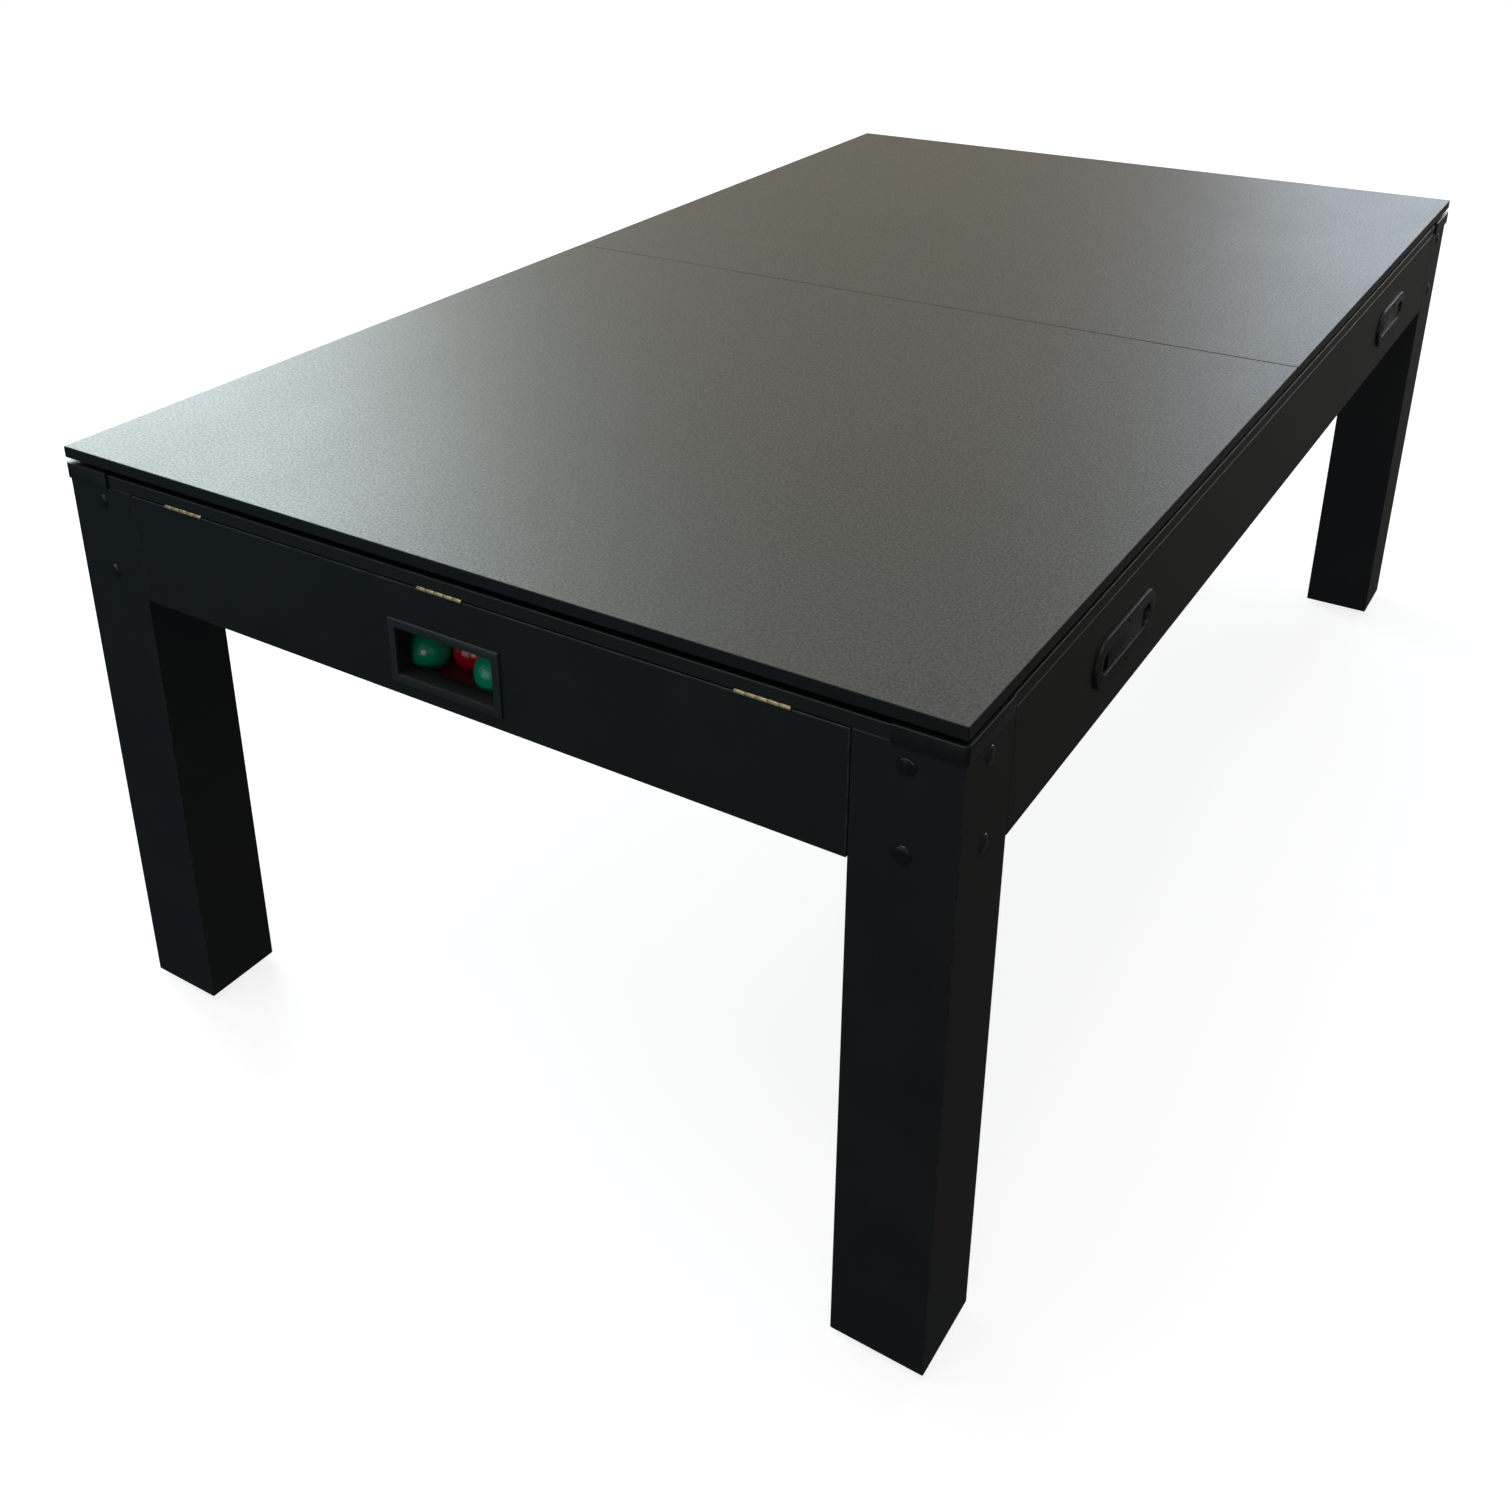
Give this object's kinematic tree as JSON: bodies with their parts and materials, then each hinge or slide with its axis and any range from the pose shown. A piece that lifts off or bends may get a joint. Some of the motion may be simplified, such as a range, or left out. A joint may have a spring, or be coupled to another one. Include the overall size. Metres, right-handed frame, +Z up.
{
  "type": "pool table",
  "caption": "Convertible pool table with a lift-off dining top in two halves, a hinged end flap with a ball window, flush side handles and square legs.",
  "frame": {"origin": "on the floor under the middle of the table", "axes": "+Y along the table's length, away from the hinged end flap; +X across its width; +Z up"},
  "size_m": [1.2088, 2.136, 0.817],
  "materials": {
    "top_melamine": "satin charcoal melamine with a fine pebbled grain",
    "body_melamine": "satin near-black melamine on fibreboard",
    "black_plastic": "black moulded plastic, fine texture",
    "frame_plastic": "dark grey moulded plastic, satin",
    "dark_metal": "black lacquered steel",
    "brass": "dull brass plating",
    "felt": "black felt",
    "cloth": "green wool playing cloth",
    "raw_board": "bare fibreboard",
    "ball_green": "polished",
    "ball_red": "polished"
  },
  "bodies": {
    "root": {"rail_near": "body_melamine", "cushion_near": "cloth", "cross_board_near": "body_melamine", "rail_far": "body_melamine", "cushion_far": "cloth", "cross_board_far": "body_melamine", "rail_left": "body_melamine", "side_apron_left": "body_melamine", "ball_runner_left": "black_plastic", "rail_right": "body_melamine", "side_apron_right": "body_melamine", "ball_runner_right": "black_plastic", "corner_guard_near_left": "black_plastic", "cushion_left_near": "cloth", "leg_near_left": "body_melamine", "handle_plate_left_near": "black_plastic", "corner_guard_near_right": "black_plastic", "cushion_right_near": "cloth", "leg_near_right": "body_melamine", "handle_plate_right_near": "black_plastic", "corner_guard_far_left": "black_plastic", "cushion_left_far": "cloth", "leg_far_left": "body_melamine", "handle_plate_left_far": "black_plastic", "corner_guard_far_right": "black_plastic", "cushion_right_far": "cloth", "leg_far_right": "body_melamine", "handle_plate_right_far": "black_plastic", "bed_board": "raw_board", "pocket_near_left": "black_plastic", "pocket_near_right": "black_plastic", "pocket_middle_left": "black_plastic", "pocket_middle_right": "black_plastic", "pocket_far_left": "black_plastic", "pocket_far_right": "black_plastic", "end_panel_far": "body_melamine", "ball_trough": "black_plastic", "hinge_fixed_left": "brass", "hinge_fixed_middle": "brass", "hinge_fixed_right": "brass", "ball_green_left": "ball_green", "ball_green_right": "ball_green", "ball_red": "ball_red"},
    "dining_top_near": {"top_panel_near": "top_melamine", "top_pad_near": "felt"},
    "dining_top_far": {"top_panel_far": "top_melamine", "top_pad_far": "felt"},
    "end_flap": {"end_flap": "body_melamine", "window_frame": "frame_plastic", "hinge_leaf_left": "brass", "hinge_leaf_middle": "brass", "hinge_leaf_right": "brass"},
    "handle_grip_left_near": {"handle_grip_left_near": "dark_metal"},
    "handle_grip_left_far": {"handle_grip_left_far": "dark_metal"},
    "handle_grip_right_near": {"handle_grip_right_near": "dark_metal"},
    "handle_grip_right_far": {"handle_grip_right_far": "dark_metal"},
    "foot_near_left": {"foot_near_left": "black_plastic"},
    "foot_near_right": {"foot_near_right": "black_plastic"},
    "foot_far_left": {"foot_far_left": "black_plastic"},
    "foot_far_right": {"foot_far_right": "black_plastic"}
  },
  "joints": [
    {"name": "dining_top_near_lift", "type": "slide", "parent": "root", "child": "dining_top_near", "axis": [0, 0, 1], "range_m": [0, 0.25]},
    {"name": "dining_top_far_lift", "type": "slide", "parent": "root", "child": "dining_top_far", "axis": [0, 0, 1], "range_m": [0, 0.25]},
    {"name": "end_flap_hinge", "type": "hinge", "parent": "root", "child": "end_flap", "pos_m": [0, -1.0645, 0.777], "axis": [-1, 0, 0], "range_deg": [0, 90]},
    {"name": "handle_grip_left_near_hinge", "type": "hinge", "parent": "root", "child": "handle_grip_left_near", "pos_m": [-0.6, -0.647, 0.716], "axis": [0, 1, 0], "range_deg": [0, 90]},
    {"name": "handle_grip_left_far_hinge", "type": "hinge", "parent": "root", "child": "handle_grip_left_far", "pos_m": [-0.6, 0.647, 0.716], "axis": [0, 1, 0], "range_deg": [0, 90]},
    {"name": "handle_grip_right_near_hinge", "type": "hinge", "parent": "root", "child": "handle_grip_right_near", "pos_m": [0.6, -0.647, 0.716], "axis": [0, -1, 0], "range_deg": [0, 90]},
    {"name": "handle_grip_right_far_hinge", "type": "hinge", "parent": "root", "child": "handle_grip_right_far", "pos_m": [0.6, 0.647, 0.716], "axis": [0, -1, 0], "range_deg": [0, 90]},
    {"name": "foot_near_left_turn", "type": "hinge", "parent": "root", "child": "foot_near_left", "pos_m": [-0.544, -1.009, 0], "axis": [0, 0, 1], "continuous": true},
    {"name": "foot_near_right_turn", "type": "hinge", "parent": "root", "child": "foot_near_right", "pos_m": [0.544, -1.009, 0], "axis": [0, 0, 1], "continuous": true},
    {"name": "foot_far_left_turn", "type": "hinge", "parent": "root", "child": "foot_far_left", "pos_m": [-0.544, 1.009, 0], "axis": [0, 0, 1], "continuous": true},
    {"name": "foot_far_right_turn", "type": "hinge", "parent": "root", "child": "foot_far_right", "pos_m": [0.544, 1.009, 0], "axis": [0, 0, 1], "continuous": true}
  ]
}
